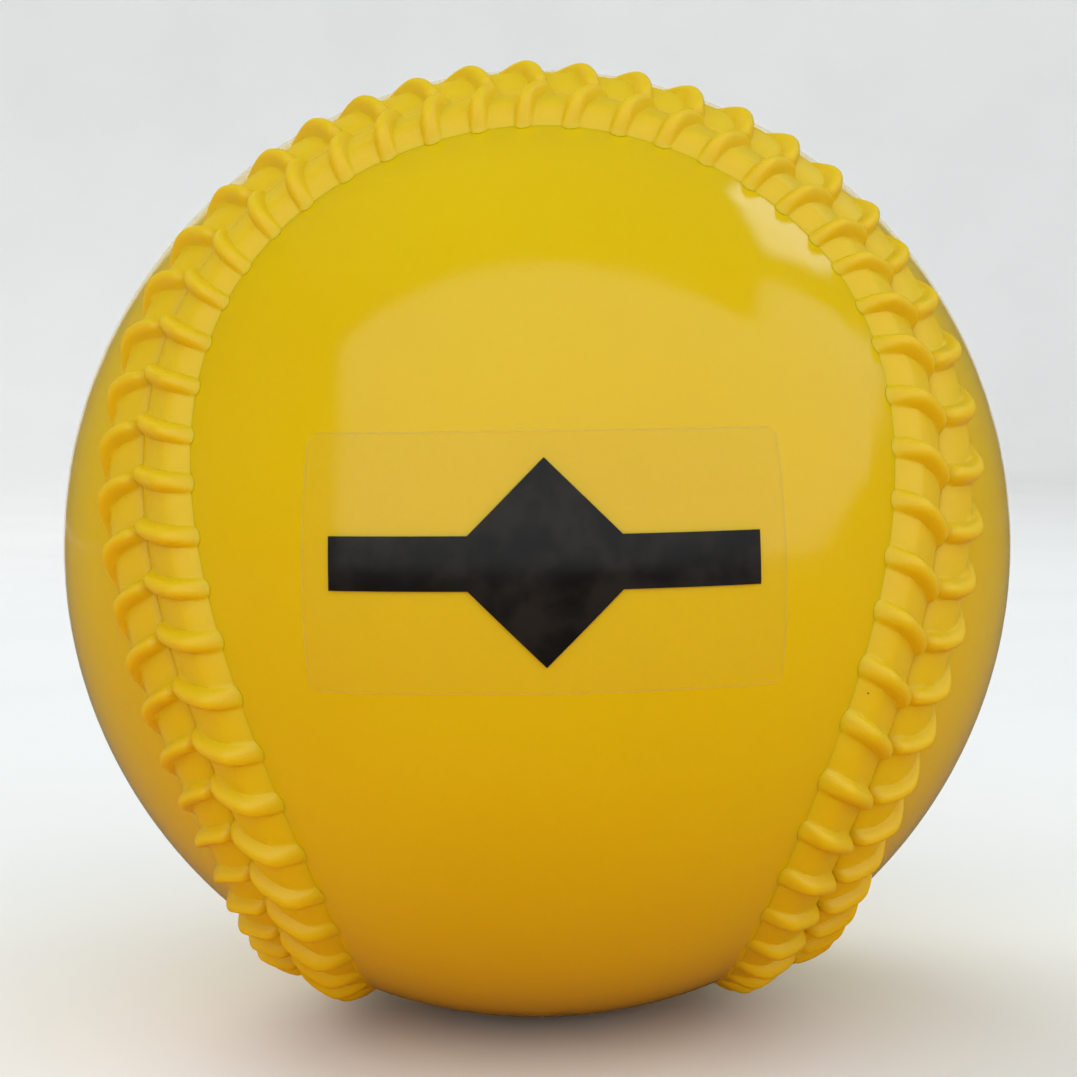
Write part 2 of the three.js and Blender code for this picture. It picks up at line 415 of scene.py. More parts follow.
class Graph:
    """A node tree that is being wired."""

    def __init__(self, tree: bpy.types.NodeTree) -> None:
        """Takes the tree to work in."""
        self.tree = tree

    def node(self, kind: str, inputs: dict | None = None, **settings: object) -> bpy.types.Node:
        """Adds a node.

        Args:
            kind: The node's type in Blender.
            inputs: Values or sockets for its inputs, by name or number.
            settings: Values of its properties.

        Returns:
            The new node.
        """
        made = self.tree.nodes.new(kind)
        for key, value in settings.items():
            setattr(made, key, value)
        for key, value in (inputs or {}).items():
            self.feed(made.inputs[key], value)
        return made

    def feed(self, target: Socket, value: object) -> None:
        """Links a socket to a node's input, or sets the input's own value."""
        if isinstance(value, bpy.types.NodeSocket):
            self.tree.links.new(value, target)
        elif isinstance(value, tuple) and len(value) == 3 and target.type == "RGBA":
            target.default_value = (*value, 1.0)
        else:
            target.default_value = value

    def maths(self, operation: str, *values: object) -> Socket:
        """A Math node's result."""
        numbered = dict(enumerate(values))
        return self.node("ShaderNodeMath", numbered, operation=operation).outputs[0]

    def ramp(self, value: object, low: float, high: float, to_low: float, to_high: float) -> Socket:
        """A value carried smoothly from one range into another."""
        inputs = {0: value, 1: low, 2: high, 3: to_low, 4: to_high}
        made = self.node("ShaderNodeMapRange", inputs, interpolation_type="SMOOTHSTEP")
        return made.outputs[0]

    def mix(self, share: object, first: object, second: object) -> Socket:
        """Two colours mixed."""
        made = self.node("ShaderNodeMix", data_type="RGBA")
        self.feed(made.inputs[0], share)
        self.feed(made.inputs[6], first)
        self.feed(made.inputs[7], second)
        return made.outputs[2]

    def place(self) -> Socket:
        """Coordinates in the ball's own frame, in metres."""
        return self.node("ShaderNodeTexCoord").outputs["Object"]

    def noise(self, scale: object, detail: float, roughness: float) -> Socket:
        """Cloudy noise in the ball's own frame."""
        inputs = {
            "Vector": self.place(), "Scale": scale, "Detail": detail, "Roughness": roughness,
        }
        return self.node("ShaderNodeTexNoise", inputs).outputs[0]

    def group(self, tree: bpy.types.NodeTree, **inputs: object) -> bpy.types.Node:
        """Places a node group, with its inputs given by name in lower case."""
        made = self.node("ShaderNodeGroup", node_tree=tree)
        for socket in made.inputs:
            key = socket.name.lower().replace(" ", "_")
            if key in inputs:
                self.feed(socket, inputs[key])
        return made


class Effects:
    """The node groups that several finishes share."""

    def __init__(self) -> None:
        """Builds each group once."""
        self.tone = self.build_tone()
        self.grain = self.build_grain()
        self.specks = self.build_specks()

    @staticmethod
    def start(
        name: str, inputs: dict[str, str], outputs: dict[str, str]
    ) -> tuple[Graph, bpy.types.Node, bpy.types.Node]:
        """Starts a group.

        Args:
            name: The group's name.
            inputs: Socket kinds by input name.
            outputs: Socket kinds by output name.

        Returns:
            Its graph, its input node and its output node.
        """
        tree = bpy.data.node_groups.new(name, "ShaderNodeTree")
        for label, kind in inputs.items():
            tree.interface.new_socket(label, in_out="INPUT", socket_type=kind)
        for label, kind in outputs.items():
            tree.interface.new_socket(label, in_out="OUTPUT", socket_type=kind)
        given = tree.nodes.new("NodeGroupInput")
        result = tree.nodes.new("NodeGroupOutput")
        return Graph(tree), given, result

    def build_tone(self) -> bpy.types.NodeTree:
        """Slow drift of a moulded colour between a clear and a deep tone."""
        graph, given, result = self.start(
            "vinyl_tone",
            {"Clear": "NodeSocketColor", "Deep": "NodeSocketColor",
             "Size": "NodeSocketFloat", "Amount": "NodeSocketFloat"},
            {"Colour": "NodeSocketColor"},
        )
        scale = graph.maths("DIVIDE", 1.0, given.outputs["Size"])
        cloud = graph.noise(scale, detail=3.0, roughness=0.55)
        spread = graph.ramp(cloud, 0.35, 0.68, 0.0, 1.0)
        share = graph.maths("MULTIPLY", spread, given.outputs["Amount"])
        mixed = graph.mix(share, given.outputs["Clear"], given.outputs["Deep"])
        graph.feed(result.inputs["Colour"], mixed)
        return graph.tree

    def build_grain(self) -> bpy.types.NodeTree:
        """Fine leather-like grain of a matte moulded surface."""
        graph, given, result = self.start(
            "mould_grain",
            {"Size": "NodeSocketFloat", "Softness": "NodeSocketFloat"},
            {"Height": "NodeSocketFloat"},
        )
        scale = graph.maths("DIVIDE", 1.0, given.outputs["Size"])
        cells = graph.node(
            "ShaderNodeTexVoronoi",
            {"Vector": graph.place(), "Scale": scale, "Smoothness": 0.6},
            feature="SMOOTH_F1",
        ).outputs["Distance"]
        coarse = graph.maths("MULTIPLY", scale, 0.45)
        cloud = graph.noise(coarse, detail=4.0, roughness=0.6)
        firm = graph.maths("SUBTRACT", 1.0, given.outputs["Softness"])
        sharp = graph.maths("MULTIPLY", cells, firm)
        soft = graph.maths("MULTIPLY", cloud, given.outputs["Softness"])
        graph.feed(result.inputs["Height"], graph.maths("ADD", sharp, soft))
        return graph.tree

    def build_specks(self) -> bpy.types.NodeTree:
        """Sparse round specks, such as dust or pits."""
        graph, given, result = self.start(
            "specks",
            {"Spacing": "NodeSocketFloat", "Size": "NodeSocketFloat", "Share": "NodeSocketFloat"},
            {"Mask": "NodeSocketFloat"},
        )
        scale = graph.maths("DIVIDE", 1.0, given.outputs["Spacing"])
        cells = graph.node("ShaderNodeTexVoronoi", {"Vector": graph.place(), "Scale": scale})
        reach = graph.maths("DIVIDE", given.outputs["Size"], given.outputs["Spacing"])
        inner = graph.maths("MULTIPLY", reach, 0.6)
        dot = graph.node(
            "ShaderNodeMapRange",
            {0: cells.outputs["Distance"], 1: inner, 2: reach, 3: 1.0, 4: 0.0},
        ).outputs[0]
        draw = graph.node("ShaderNodeSeparateColor", {0: cells.outputs["Color"]}).outputs[0]
        chosen = graph.maths("LESS_THAN", draw, given.outputs["Share"])
        graph.feed(result.inputs["Mask"], graph.maths("MULTIPLY", dot, chosen))
        return graph.tree


# Finishes


@dataclass(frozen=True)
class Finish:
    """What every finish has: a name, a colour and a shine."""

    name: str
    colour: Colour
    roughness: float
    ior: float

    def start(self) -> tuple[bpy.types.Material, Graph, bpy.types.Node]:
        """A new material, its graph and its shader, with the plain values set."""
        made = bpy.data.materials.new(self.name)
        made.use_nodes = True
        graph = Graph(made.node_tree)
        shader = made.node_tree.nodes["Principled BSDF"]
        shader.inputs["Base Color"].default_value = (*self.colour, 1.0)
        shader.inputs["Roughness"].default_value = self.roughness
        shader.inputs["IOR"].default_value = self.ior
        return made, graph, shader

    def bumped(self, graph: Graph, shader: bpy.types.Node, height: Socket, depth: float) -> None:
        """Feeds a height into the shader's normal.

        Args:
            graph: The material's graph.
            shader: Its shader.
            height: The height, about 0 to 1.
            depth: What a height of 1 is in metres.
        """
        bump = graph.node("ShaderNodeBump", {"Height": height, "Strength": 1.0, "Distance": depth})
        graph.feed(shader.inputs["Normal"], bump.outputs["Normal"])


@dataclass(frozen=True)
class TonedFinish(Finish):
    """A finish whose colour drifts towards a deeper one in places."""

    deep: Colour = (0.5, 0.5, 0.5)
    tone_size: float = 5 * MM
    tone_amount: float = 0.5

    def toned(self, graph: Graph, effects: Effects) -> Socket:
        """The drifting colour."""
        return graph.group(
            effects.tone, clear=self.colour, deep=self.deep,
            size=self.tone_size, amount=self.tone_amount,
        ).outputs["Colour"]


@dataclass(frozen=True)
class VinylFinish(TonedFinish):
    """Soft yellow vinyl, glossy on the panels and matte on the welts."""

    deep: Colour = (0.6, 0.34, 0.001)
    tone_size: float = 22 * MM
    tone_amount: float = 0.14
    dirt: Colour = (0.16, 0.08, 0.01)
    shine_spread: float = 0.04
    grain_size: float = 0.12 * MM
    grain_depth: float = 0.004 * MM
    grain_softness: float = 0.4
    wave_size: float = 5 * MM
    wave_depth: float = 0.01 * MM
    speck_spacing: float = 2.6 * MM
    speck_size: float = 0.09 * MM
    speck_share: float = 0.04
    glow: float = 0.25
    glow_reach: float = 1.5 * MM
    glow_shares: Colour = (1.0, 0.45, 0.08)

    def material(self, effects: Effects) -> bpy.types.Material:
        """The finished material."""
        made, graph, shader = self.start()
        specks = graph.group(
            effects.specks, spacing=self.speck_spacing, size=self.speck_size,
            share=self.speck_share,
        ).outputs["Mask"]
        colour = graph.mix(specks, self.toned(graph, effects), self.dirt)
        graph.feed(shader.inputs["Base Color"], colour)
        smear = graph.noise(1.0 / self.wave_size, detail=5.0, roughness=0.65)
        low = self.roughness - self.shine_spread
        high = self.roughness + self.shine_spread
        shine = graph.ramp(smear, 0.3, 0.7, low, high)
        graph.feed(shader.inputs["Roughness"], shine)
        grain = graph.group(
            effects.grain, size=self.grain_size, softness=self.grain_softness
        ).outputs["Height"]
        fine = graph.maths("MULTIPLY", grain, self.grain_depth / self.wave_depth)
        relief = graph.maths("ADD", fine, smear)
        self.bumped(graph, shader, relief, self.wave_depth)
        shader.inputs["Subsurface Weight"].default_value = self.glow
        shader.inputs["Subsurface Radius"].default_value = self.glow_shares
        shader.inputs["Subsurface Scale"].default_value = self.glow_reach
        return made


@dataclass(frozen=True)
class FilmFinish(Finish):
    """Clear label film, which shows mostly at its cut edge: a denser pale rim there draws the edge
    line, partly the film's real edge and partly a painted highlight of light catching it.
    """

    label: "Label"
    plain_alpha: float = 0.02
    edge_alpha: float = 0.12
    edge_width: float = 0.12 * MM
    dust_spacing: float = 1.8 * MM
    dust_size: float = 0.07 * MM
    dust_share: float = 0.08
    dust_dullness: float = 0.4

    def material(self, effects: Effects) -> bpy.types.Material:
        """The finished material."""
        made, graph, shader = self.start()
        place = graph.place()
        axes = graph.node("ShaderNodeSeparateXYZ", {0: place}).outputs
        out = graph.maths("ARCTAN2", axes["X"], graph.maths("MULTIPLY", axes["Y"], -1.0))
        reach = graph.node("ShaderNodeVectorMath", {0: place}, operation="LENGTH").outputs["Value"]
        lift = graph.maths("ARCSINE", graph.maths("DIVIDE", axes["Z"], reach))
        across = graph.maths("MULTIPLY", out, reach)
        along = graph.maths("MULTIPLY", lift, reach)
        right = graph.maths("ABSOLUTE", graph.maths("SUBTRACT", across, self.label.centre_right))
        up = graph.maths("ABSOLUTE", graph.maths("SUBTRACT", along, self.label.centre_up))
        from_side = graph.maths("SUBTRACT", self.label.film_width / 2, right)
        from_end = graph.maths("SUBTRACT", self.label.film_height / 2, up)
        inset = graph.maths("MINIMUM", from_side, from_end)
        # Painted highlight: the film is made denser within edge_width of its cut edge, so the edge
        # shows as a pale line as if light caught it.
        edge = graph.ramp(inset, 0.0, self.edge_width, 1.0, 0.0)
        more = self.edge_alpha - self.plain_alpha
        alpha = graph.maths("MULTIPLY_ADD", edge, more, self.plain_alpha)
        graph.feed(shader.inputs["Alpha"], alpha)
        dust = graph.group(
            effects.specks, spacing=self.dust_spacing, size=self.dust_size,
            share=self.dust_share,
        ).outputs["Mask"]
        shine = graph.maths("MULTIPLY_ADD", dust, self.dust_dullness, self.roughness)
        graph.feed(shader.inputs["Roughness"], shine)
        return made


@dataclass(frozen=True)
class InkFinish(TonedFinish):
    """Black printing ink with a smooth shine, duller in places."""

    deep: Colour = (0.02, 0.017, 0.016)
    tone_size: float = 3 * MM
    tone_amount: float = 0.8
    dull_roughness: float = 0.24
    ripple_size: float = 6 * MM
    ripple_depth: float = 0.03 * MM

    def material(self, effects: Effects) -> bpy.types.Material:
        """The finished material."""
        made, graph, shader = self.start()
        graph.feed(shader.inputs["Base Color"], self.toned(graph, effects))
        grain = graph.group(
            effects.grain, size=self.ripple_size, softness=1.0
        ).outputs["Height"]
        shine = graph.ramp(grain, 0.3, 0.7, self.roughness, self.dull_roughness)
        graph.feed(shader.inputs["Roughness"], shine)
        self.bumped(graph, shader, grain, self.ripple_depth)
        return made


@dataclass(frozen=True)
class FoamFinish(TonedFinish):
    """Closed-cell foam."""

    deep: Colour = (0.7, 0.62, 0.38)
    tone_amount: float = 0.6
    cell_size: float = 0.7 * MM
    cell_depth: float = 0.12 * MM
    cell_softness: float = 0.25

    def material(self, effects: Effects) -> bpy.types.Material:
        """The finished material."""
        made, graph, shader = self.start()
        graph.feed(shader.inputs["Base Color"], self.toned(graph, effects))
        cells = graph.group(
            effects.grain, size=self.cell_size, softness=self.cell_softness
        ).outputs["Height"]
        self.bumped(graph, shader, cells, self.cell_depth)
        return made


@dataclass(frozen=True)
class PaperFinish(TonedFinish):
    """Plain pale studio paper."""

    deep: Colour = (0.84, 0.835, 0.825)
    tone_size: float = 80 * MM
    specular_level: float = 0.1

    def material(self, effects: Effects) -> bpy.types.Material:
        """The finished material."""
        made, graph, shader = self.start()
        graph.feed(shader.inputs["Base Color"], self.toned(graph, effects))
        shader.inputs["Specular IOR Level"].default_value = self.specular_level
        return made


# Pieces of the ball


def finish_piece(
    piece: bpy.types.Object, node: str, material: bpy.types.Material
) -> None:
    """Ties a new piece to the frame and dresses it.

    Args:
        piece: The piece.
        node: The CAD node that it stands for.
        material: Its finish.
    """
    piece.data.materials.append(material)
    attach(piece, BODY)
    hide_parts(node)
    log.info("%s: %d corners, %d faces", piece.name, len(piece.data.vertices),
             len(piece.data.polygons))


@dataclass
class Seam:
    """The two welts with their stitch ribs, and the rows that the panels' edges follow."""

    radius: float
    foot_depth: float = 3.0 * MM
    under_ribs: RibShape = RibShape(
        half_width=0.7 * MM, lean=19.0, start=-1.55 * MM, bow=0.3 * MM, curl=0.0,
        tip=-0.3 * MM, taper=0.85 * MM, seed=7,
    )
    over_ribs: RibShape = RibShape(
        half_width=0.65 * MM, lean=3.5, start=-1.1 * MM, bow=0.0, curl=2.6 * MM,
        tip=0.1 * MM, taper=0.6 * MM, seed=11,
    )
    wall_top: float = 0.5 * MM
    heel_height: float = 0.004 * MM
    middle_rows: int = 15
    relief: Relief = field(default_factory=Relief)

    def __post_init__(self) -> None:
        """Lays the two rows of ribs along the seam."""
        self.curve = SeamCurve(self.radius)
        self.rows = {
            Side.UNDER: StitchRow(self.curve, self.under_ribs),
            Side.OVER: StitchRow(self.curve, self.over_ribs),
        }

    def at(self, side: Side, offset: np.ndarray, height: np.ndarray) -> np.ndarray:
        """Points of a side's columns.

        Args:
            side: The side.
            offset: Offsets from the seam, with the columns in the first axis.
            height: Heights above the cover.

        Returns:
            The points.
        """
        distance = self.rows[side].distances(offset)
        direction = self.curve.beside(distance, side.value * offset)
        return direction * (self.radius + height)[..., None]

    def cap(self, row: StitchRow, place: float) -> np.ndarray:
        """How far a rib's rounded end lies back in each column, as a share of its rounding."""
        across = row.across(np.full((len(row.indices), 1), place))[:, 0]
        return 1.0 - np.sqrt(np.maximum(1.0 - across**2, 0.0))

    def build_welt(self, side: Side) -> bpy.types.Object:
        """One welt: an endless strip whose skin carries the ribs.

        Args:
            side: The panel that it belongs to.

        Returns:
            The piece.
        """
        relief = self.relief
        row = self.rows[side]
        ribs = row.ribs
        near = (0.0, 0.015, 0.035, 0.06, 0.09, 0.125, 0.165, 0.21)
        far = (0.93, 0.955, 0.975, 0.99, 1.0)
        shares = np.concatenate([near, np.linspace(0.26, 0.9, self.middle_rows), far])
        inner = np.minimum(relief.inner, ribs.tip + ribs.taper * self.cap(row, ribs.tip))
        end_back = relief.foot_round * self.cap(row, relief.rib_reach)
        outer = np.maximum(relief.edge, relief.rib_reach - end_back)
        offset = inner[:, None] + (outer - inner)[:, None] * shares[None, :]
        rib_top = relief.on_welt(offset, row.across(offset), ribs)
        ground = relief.valley(np.abs(offset))
        height = ground + (rib_top - ground) * row.heights()[:, None]

        skin = Skin()
        columns = len(row.indices)
        inner_foot = np.full((columns, 1), relief.inner)
        outer_foot = np.full((columns, 1), relief.edge)
        deep = np.full((columns, 1), -self.foot_depth)
        shelf = np.full((columns, 1), -self.wall_top)
        heel = np.full((columns, 1), self.heel_height)
        flush = np.zeros((columns, 1))
        offsets = np.concatenate([
            inner_foot, inner_foot, offset, outer[:, None], outer_foot, outer_foot, outer_foot,
        ], axis=1)
        heights = np.concatenate([deep, shelf, height, heel, flush, shelf, deep], axis=1)
        numbers = skin.add(self.at(side, offsets, heights))
        loop = np.concatenate([numbers, numbers[:, :1]], axis=1)
        skin.cloth(loop, ring=True, flip=side is Side.OVER)
        return skin.piece(f"welt_{side.word}_ribbed")


@dataclass
class Panel:
    """A figure-eight cover panel."""

    seam: Seam
    side: Side
    thickness: float = 3.0 * MM
    crevice: float = 0.005 * MM
    wall_top: float = 0.6 * MM
    border: float = 6.2 * MM
    inset: float = 7.0 * MM
    coarse_share: int = 6
    columns: int = 60
    lining_columns: int = 12

    def rings(self, skin: Skin) -> tuple[np.ndarray, np.ndarray]:
        """Adds the border along the welt, and the wall down to the core.

        Args:
            skin: The mesh under way.

        Returns:
            Numbers of the coarse ring within the border, and of the one at the wall's foot.
        """
        row = self.seam.rows[self.side]
        edge = self.seam.relief.edge + self.crevice
        offsets = np.array([edge, edge, self.border])
        heights = np.array([-self.wall_top, 0.0, 0.0])
        offset = np.broadcast_to(offsets, (len(row.indices), len(offsets)))
        height = np.broadcast_to(heights, offset.shape)
        numbers = skin.add(self.seam.at(self.side, offset, height))
        flip = self.side is Side.OVER
        skin.cloth(numbers, ring=True, flip=flip)

        picked = slice(None, None, self.coarse_share)
        inner_offset = np.full((len(row.indices), 1), self.inset)
        inner_points = self.seam.at(self.side, inner_offset, np.zeros_like(inner_offset))
        inner = skin.add(inner_points[picked, 0])
        skin.fan(numbers[:, -1], inner, flip=flip)
        foot_offset = np.full((len(row.indices), 1), edge)
        foot_points = self.seam.at(
            self.side, foot_offset, np.full_like(foot_offset, -self.thickness)
        )
        foot = skin.add(foot_points[picked, 0])
        skin.fan(numbers[:, 0], foot, flip=not flip)
        return inner, foot

    def stretch(
        self, skin: Skin, ring: np.ndarray, tip: int, columns: int, radius: float, flip: bool
    ) -> None:
        """Closes a ring with a skin of great-circle arcs between its two flanks.

        Args:
            skin: The mesh under way.
            ring: Numbers of the ring's corners.
            tip: Position in the ring of the first lobe's tip.
            columns: Faces across the panel.
            radius: Radius of the skin.
            flip: Whether the faces are turned over.
        """
        points = np.concatenate(skin.corners)
        half = len(ring) // 2
        shares = np.linspace(0.0, 1.0, columns + 1)[1:-1]
        rows = []
        for step in range(1, half):
            left = ring[(tip - step) % len(ring)]
            right = ring[(tip + step) % len(ring)]
            start = points[left] / np.linalg.norm(points[left])
            end = points[right] / np.linalg.norm(points[right])
            angle = math.acos(max(-1.0, min(1.0, float(start @ end))))
            weights = np.stack([np.sin((1 - shares) * angle), np.sin(shares * angle)], -1)
            arc = weights @ np.stack([start, end]) / math.sin(angle)
            numbers = skin.add(arc / lengths(arc) * radius)
            rows.append(np.concatenate([[left], numbers, [right]]))
        skin.cloth(np.array(rows), flip=flip)
        for end, edge_row, turned in ((tip, rows[0], flip), (tip + half, rows[-1], not flip)):
            point = ring[end % len(ring)]
            made = [(point, edge_row[k], edge_row[k + 1]) for k in range(len(edge_row) - 1)]
            made = np.array(made)
            skin.triangles.append(made if turned else made[:, ::-1])

    def build(self) -> bpy.types.Object:
        """The piece."""
        skin = Skin()
        inner, foot = self.rings(skin)
        row = self.seam.rows[self.side]
        curve = self.seam.curve
        places = row.distances(np.full((len(row.indices), 1), self.inset))[:, 0]
        places = places[:: self.coarse_share]
        gap = np.mod(places - self.side.lobe_tip * curve.length, curve.length)
        tip = int(np.argmin(np.minimum(gap, curve.length - gap)))
        over = self.side is Side.OVER
        radius = self.seam.radius
        self.stretch(skin, inner, tip, self.columns, radius, flip=over)
        self.stretch(
            skin, foot, tip, self.lining_columns, radius - self.thickness, flip=not over
        )
        return skin.piece(f"cover_{self.side.word}_vinyl")


@dataclass
class Label:
    """The clear film and its plain printed figure, on the front lobe."""

    radius: float
    centre_right: float = -0.2 * MM
    centre_up: float = 1.2 * MM
    film_width: float = 31.4 * MM
    film_height: float = 16.4 * MM
    film_corner: float = 0.7 * MM
    film_lift: float = 0.02 * MM
    film_thickness: float = 0.08 * MM
    film_columns: int = 48
    film_rows: int = 28
    corner_steps: int = 6
    ink_width: float = 27.6 * MM
    ink_height: float = 13.0 * MM
    ink_bar: float = 3.4 * MM
    ink_lift: float = 0.11 * MM
    ink_thickness: float = 0.03 * MM
    ink_columns: int = 16
    ink_rows: int = 24

    def direction(self, right: np.ndarray, up: np.ndarray) -> np.ndarray:
        """Directions on the front lobe, from distances along the cover."""
        around = (self.centre_right + right) / self.radius
        above = (self.centre_up + up) / self.radius
        out = np.cos(above)
        return np.stack([np.sin(around) * out, -np.cos(around) * out, np.sin(above)], -1)

    def layer(
        self, name: str, right: np.ndarray, half: np.ndarray, rows: int,
        lift: float, thickness: float,
    ) -> bpy.types.Object:
        """A thin closed layer between two mirrored outlines.

        Args:
            name: The piece's name.
            right: Places of its columns.
            half: Half of its height at each column.
            rows: Faces up each column.
            lift: Height of its underside above the cover.
            thickness: Its thickness.

        Returns:
            The piece.
        """
        shares = np.linspace(-1.0, 1.0, rows + 1)
        across = np.broadcast_to(right[:, None], (len(right), rows + 1))
        grid = self.direction(across, half[:, None] * shares[None, :])
        skin = Skin()
        bottom = skin.add(grid * (self.radius + lift))
        top = skin.add(grid * (self.radius + lift + thickness))
        skin.cloth(top)
        skin.cloth(bottom, flip=True)
        for upper, lower, flip in (
            (top[0], bottom[0], False), (top[-1], bottom[-1], True),
            (top[:, 0], bottom[:, 0], True), (top[:, -1], bottom[:, -1], False),
        ):
            skin.cloth(np.stack([upper, lower]), flip=flip)
        return skin.piece(name)

    def build_film(self) -> bpy.types.Object:
        """The film, with slightly rounded corners."""
        half = self.film_width / 2
        turn = np.linspace(0.0, math.pi / 2, self.corner_steps)
        corner = half - self.film_corner + self.film_corner * np.cos(turn)
        straight = half - self.film_corner
        middle = np.linspace(-straight, straight, self.film_columns + 1)
        right = np.concatenate([-corner[:-1], middle, corner[:-1][::-1]])
        beyond = np.maximum(np.abs(right) - straight, 0.0) / self.film_corner
        rounding = self.film_corner * (1.0 - np.sqrt(np.maximum(1.0 - beyond**2, 0.0)))
        height = self.film_height / 2 - rounding
        return self.layer(
            "label_film_clear", right, height, self.film_rows, self.film_lift,
            self.film_thickness,
        )

    def build_print(self) -> bpy.types.Object:
        """The figure: a plain bar with a diamond in its middle."""
        half = self.ink_width / 2
        shoulder = (self.ink_height - self.ink_bar) / 2
        right = np.unique(np.concatenate([
            np.linspace(-half, -shoulder, self.ink_columns + 1),
            np.linspace(-shoulder, shoulder, 2 * self.ink_columns + 1),
            np.linspace(shoulder, half, self.ink_columns + 1),
        ]))
        height = np.maximum(self.ink_bar / 2, self.ink_height / 2 - np.abs(right))
        return self.layer(
            "label_print_black", right, height, self.ink_rows, self.ink_lift,
            self.ink_thickness,
        )


# Studio


def bare_material(name: str) -> tuple[bpy.types.Material, Graph]:
    """A new material for the studio, without any nodes yet, and its graph."""
    made = bpy.data.materials.new(name)
    made.use_nodes = True
    graph = Graph(made.node_tree)
    graph.tree.nodes.clear()
    return made, graph


@dataclass(frozen=True)
class SoftBox:
    """A rectangular lamp that faces the ball's centre and isn't mirrored in it."""

    name: str
    place: tuple[float, float, float]
    width: float
    height: float
    radiance: float
    colour: Colour = (1.0, 1.0, 1.0)
    power_share: float = 4.0

    def build(self) -> None:
        """Adds the lamp, unseen by the camera itself.

        The power is what gives an area of this size about the radiance that is asked for.
        """
        data = bpy.data.lights.new(self.name, "AREA")
        data.shape = "RECTANGLE"
        data.size = self.width
        data.size_y = self.height
        data.energy = self.power_share * self.width * self.height * self.radiance
        data.color = self.colour
        made = bpy.data.objects.new(self.name, data)
        bpy.context.scene.collection.objects.link(made)
        made.location = self.place
        made.rotation_mode = "QUATERNION"
        made.rotation_quaternion = (-Vector(self.place)).to_track_quat("-Z", "Y")
        made.visible_camera = False
        made.visible_glossy = False


@dataclass(frozen=True)
class WindowPane:
    """A flat bright pane of any outline, which lights the ball and shows in its gloss.

    It shines most to the side from which its corners run anticlockwise.
    """

    name: str
    corners: tuple[tuple[float, float, float], ...]
    radiance: float
    colour: Colour = (1.0, 1.0, 1.0)
    back_share: float = 0.7

    def build(self) -> None:
        """Adds the pane, unseen by the camera itself."""
        mesh = bpy.data.meshes.new(self.name)
        mesh.from_pydata(self.corners, [], [tuple(range(len(self.corners)))])
        mesh.update()
        material, graph = bare_material(self.name)
        behind = graph.node("ShaderNodeNewGeometry").outputs["Backfacing"]
        loss = (self.back_share - 1.0) * self.radiance
        level = graph.maths("MULTIPLY_ADD", behind, loss, self.radiance)
        light = graph.node("ShaderNodeEmission", {"Color": self.colour, "Strength": level})
        graph.node("ShaderNodeOutputMaterial", {"Surface": light.outputs[0]})
        mesh.materials.append(material)
        made = bpy.data.objects.new(self.name, mesh)
        bpy.context.scene.collection.objects.link(made)
        made.visible_camera = False


@dataclass(frozen=True)
class Sheet:
    """A matte sheet of the studio, clear from behind, unseen by the camera and shadowless."""

    name: str
    colour: Colour

    def dress(self, piece: bpy.types.Object) -> None:
        """Makes a piece of the studio such a sheet."""
        material, graph = bare_material(self.name)
        front = graph.node("ShaderNodeBsdfDiffuse", {"Color": self.colour}).outputs[0]
        clear = graph.node("ShaderNodeBsdfTransparent").outputs[0]
        behind = graph.node("ShaderNodeNewGeometry").outputs["Backfacing"]
        both = graph.node("ShaderNodeMixShader", {0: behind, 1: front, 2: clear}).outputs[0]
        graph.node("ShaderNodeOutputMaterial", {"Surface": both})
        piece.data.materials.append(material)
        piece.visible_camera = False
        piece.visible_transmission = False
        piece.visible_shadow = False


